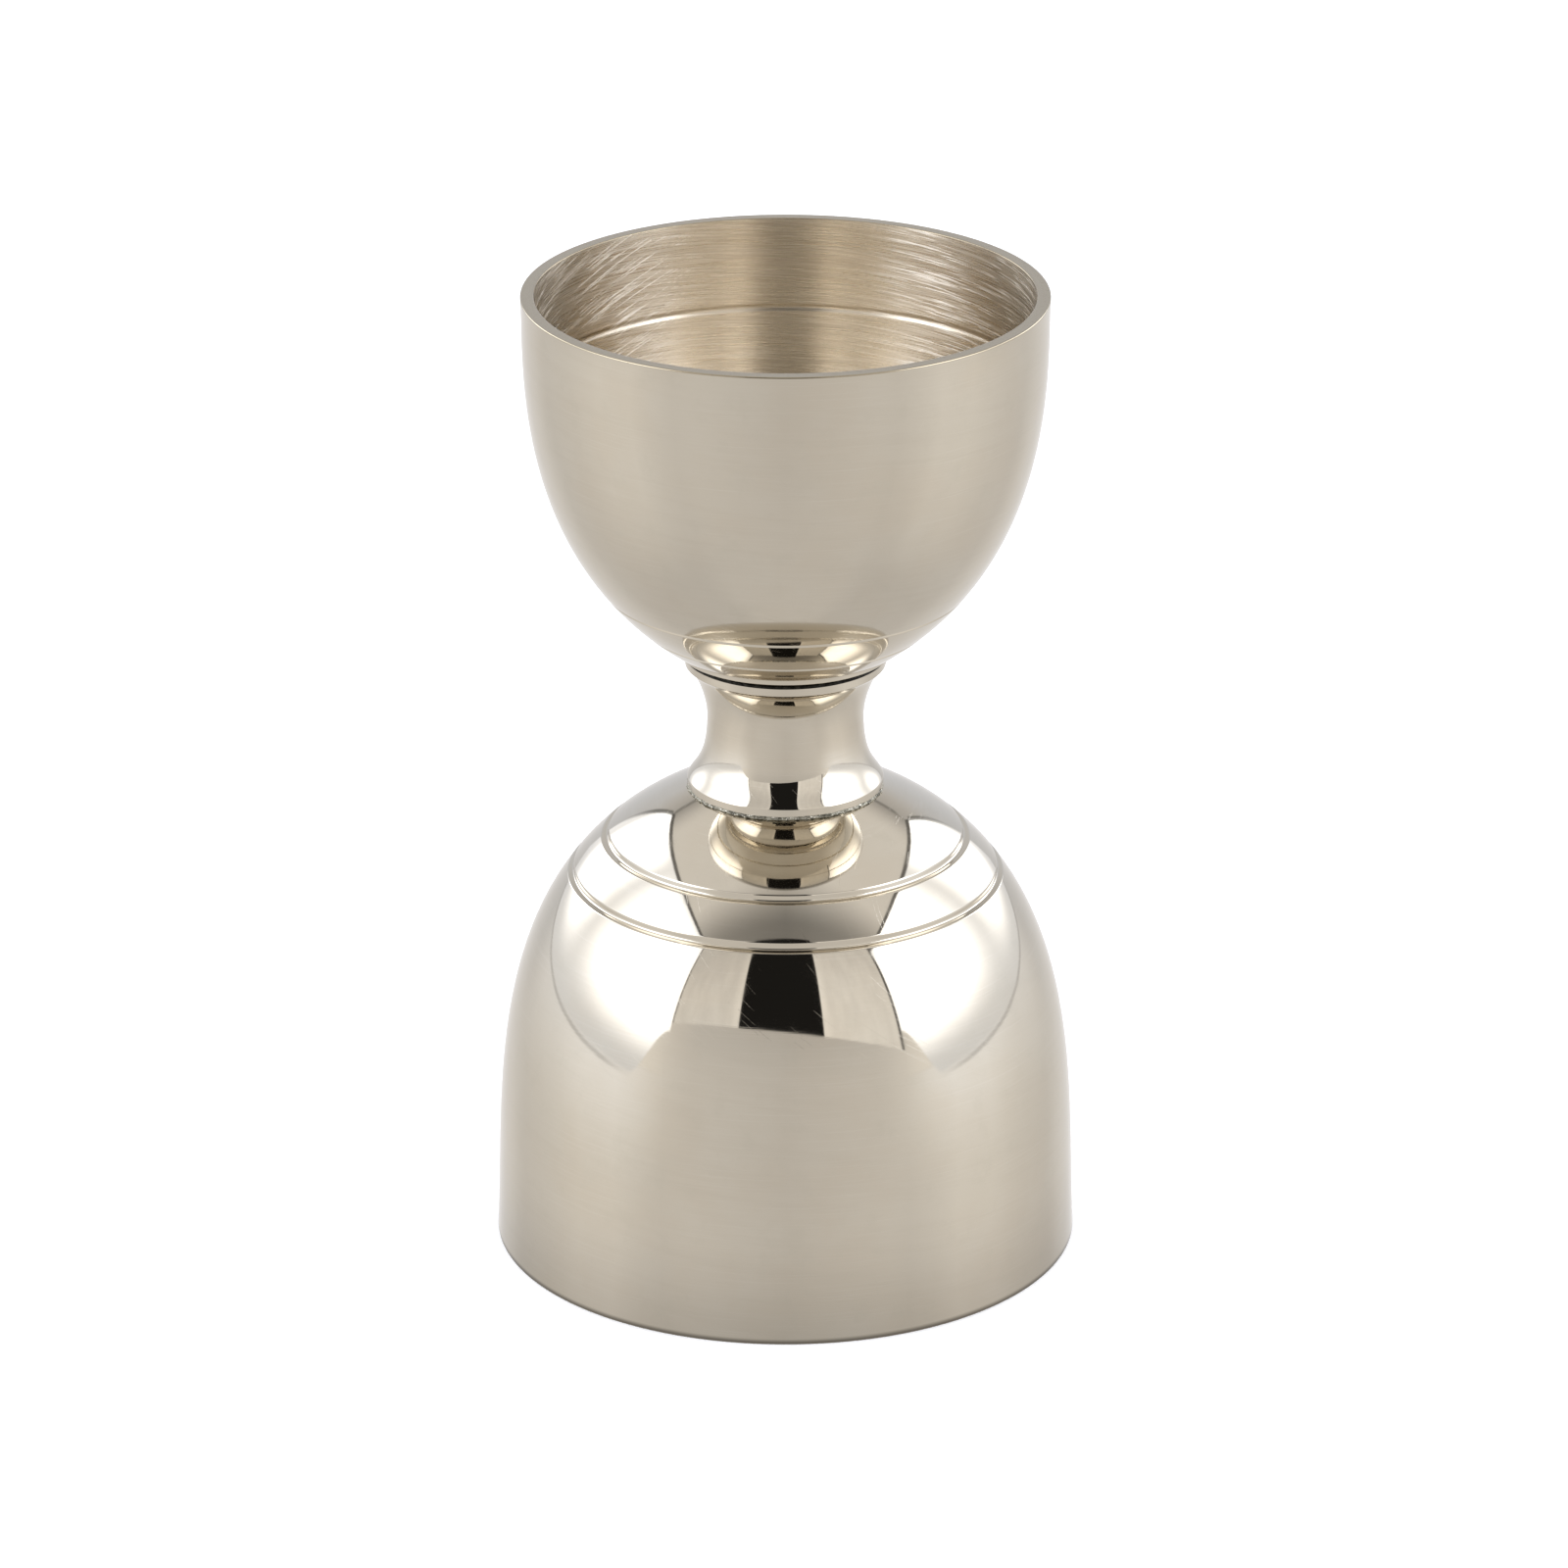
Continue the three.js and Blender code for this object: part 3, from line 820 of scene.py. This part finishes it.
    def frames(self, light):
        """The light with the dark edges of the tent's frames drawn over it."""
        inside = self.where(
            self.above(self.box_y, self.box_back, 0.02), self.below(self.box_y, BOX_FRONT - 0.01)
        )
        top_line = self.line(self.box_z, self.math("ADD", self.box_top, 0.02), 0.045)
        back_line = self.line(self.box_y, self.box_back, 0.11)
        back_frame = self.where(
            back_line, self.below(self.box_z, self.box_top), self.step(self.box_z, 0.25, 0.9)
        )
        foot_line = self.line(self.box_z, self.math("SUBTRACT", self.box_low, 0.012), 0.013)
        foot_frame = self.where(
            foot_line, self.step(self.box_y, -2.1, -1.7), self.step(self.box_y, 0.1, 0.5, 1, 0)
        )
        wall_line = self.line(self.roof_y, WALL_TOP, 0.09)
        wall_top = self.where(wall_line, self.step(self.roof_x, 0.8, 0.86, 1, 0))
        rod = self.where(self.line(self.cloth_z, self.cloth_top, 0.02), self.cloth_side, self.facing)
        # The cloth's right corner is bolder than its left.
        corner_half = self.step(self.x, -0.1, 0.1, 0.02, 0.032)
        corner = self.where(
            self.line(self.math("ABSOLUTE", self.cloth_x), CLOTH_HALF, corner_half),
            self.above(self.cloth_z, self.table_edge),
            self.facing,
            self.below(self.box_z, BOX_TOP, 0.02),
        )
        corner_share = self.step(self.x, -0.1, 0.1, 0.55, 0.95)
        for mask, share, level in (
            (foot_frame, 0.5, 0.45),
            (back_frame, 0.85, 0.18),
            (wall_top, 0.8, 0.3),
            (self.where(top_line, inside), 0.9, 0.12),
            (rod, 0.6, 0.2),
            (corner, corner_share, 0.1),
        ):
            light = self.mix(self.where(mask, share), light, level)
        return light

    def tint(self, in_box, overhead):
        """The lamps are a little cooler than what they light in front."""
        near_lamp = self.where(
            self.step(self.turn, 0.24, 0.42),
            self.step(self.rise, -0.4, 0.15),
            self.step(self.rise, 0.25, 0.55, 1, 0.2),
        )
        lit = self.mix(overhead, near_lamp, 0.0)
        return self.colours(self.mix(in_box, lit, 1.0), WARM_LIGHT, COOL_LIGHT)


def light_tent():
    world = bpy.data.worlds.new("light_tent")
    bpy.context.scene.world = world
    t = Tent(world)
    table = t.table()
    in_box, softbox = t.softboxes()
    cloth, cloth_level = t.front_cloth()
    overhead = t.where(t.upward, t.below(t.roof_y, WALL_TOP - 0.01, 0.012))
    before_cloth = t.where(t.facing, t.below(t.cloth_z, t.table_edge), t.cloth_side)
    under_box = t.where(
        t.below(t.box_z, t.box_low, 0.03), t.upward, t.below(t.box_y, BOX_FRONT, 0.01)
    )

    # Laid over one another, from the back.
    light = t.mix(overhead, table, t.ceiling())
    light = t.mix(before_cloth, light, table)
    light = t.mix(under_box, light, table)
    light = t.mix(in_box, light, softbox)
    light = t.mix(cloth, light, cloth_level)
    light = t.frames(light)
    light = t.mix(t.slit(), light, SLIT_LEVEL)

    shade = t.tint(in_box, overhead)
    shine = t.node("ShaderNodeVectorMath", {0: shade, 3: light}, operation="SCALE").outputs[0]
    shader = t.node("ShaderNodeBackground", {0: shine, 1: 1.0})
    output = t.node("ShaderNodeOutputWorld")
    t.put(output.inputs[0], shader.outputs[0])


light_tent()


def table_top():
    """The pale table, seen from above only."""
    bpy.ops.mesh.primitive_plane_add(size=8)
    plane = bpy.context.object
    plane.name = "table_top"
    material = bpy.data.materials.new("table_white")
    t = Tree(material)
    place = t.node("ShaderNodeTexCoord").outputs["Object"]
    mottle = t.noise(place, 60.0, 3, 0.5)
    colour = t.colours(mottle, (0.88, 0.88, 0.875), (0.90, 0.90, 0.895))
    cloth = t.node("ShaderNodeBsdfDiffuse", {0: colour})
    glow = t.node("ShaderNodeEmission", {0: colour, 1: 0.3})
    lit = t.node("ShaderNodeAddShader", {0: cloth.outputs[0], 1: glow.outputs[0]})
    clear = t.node("ShaderNodeBsdfTransparent")
    under = t.node("ShaderNodeNewGeometry").outputs["Backfacing"]
    both = t.node("ShaderNodeMixShader", {0: under, 1: lit.outputs[0], 2: clear.outputs[0]})
    output = t.node("ShaderNodeOutputMaterial")
    t.put(output.inputs[0], both.outputs[0])
    plane.data.materials.append(material)
    plane.visible_glossy = False


table_top()

# ---------------------------------------------------------------- camera

camera = bpy.data.objects.new("camera", bpy.data.cameras.new("camera"))
bpy.context.scene.collection.objects.link(camera)
camera.data.sensor_width = 36
camera.data.lens = 166.44
camera.data.clip_start = 0.05
camera.data.clip_end = 30
camera.location = Vector((-0.00014, -0.64156, 0.30156))
camera.rotation_euler = (math.radians(90 - 21.749), 0, 0)
bpy.context.scene.camera = camera
bpy.context.scene.view_settings.view_transform = "Standard"
bpy.context.scene.view_settings.look = "None"
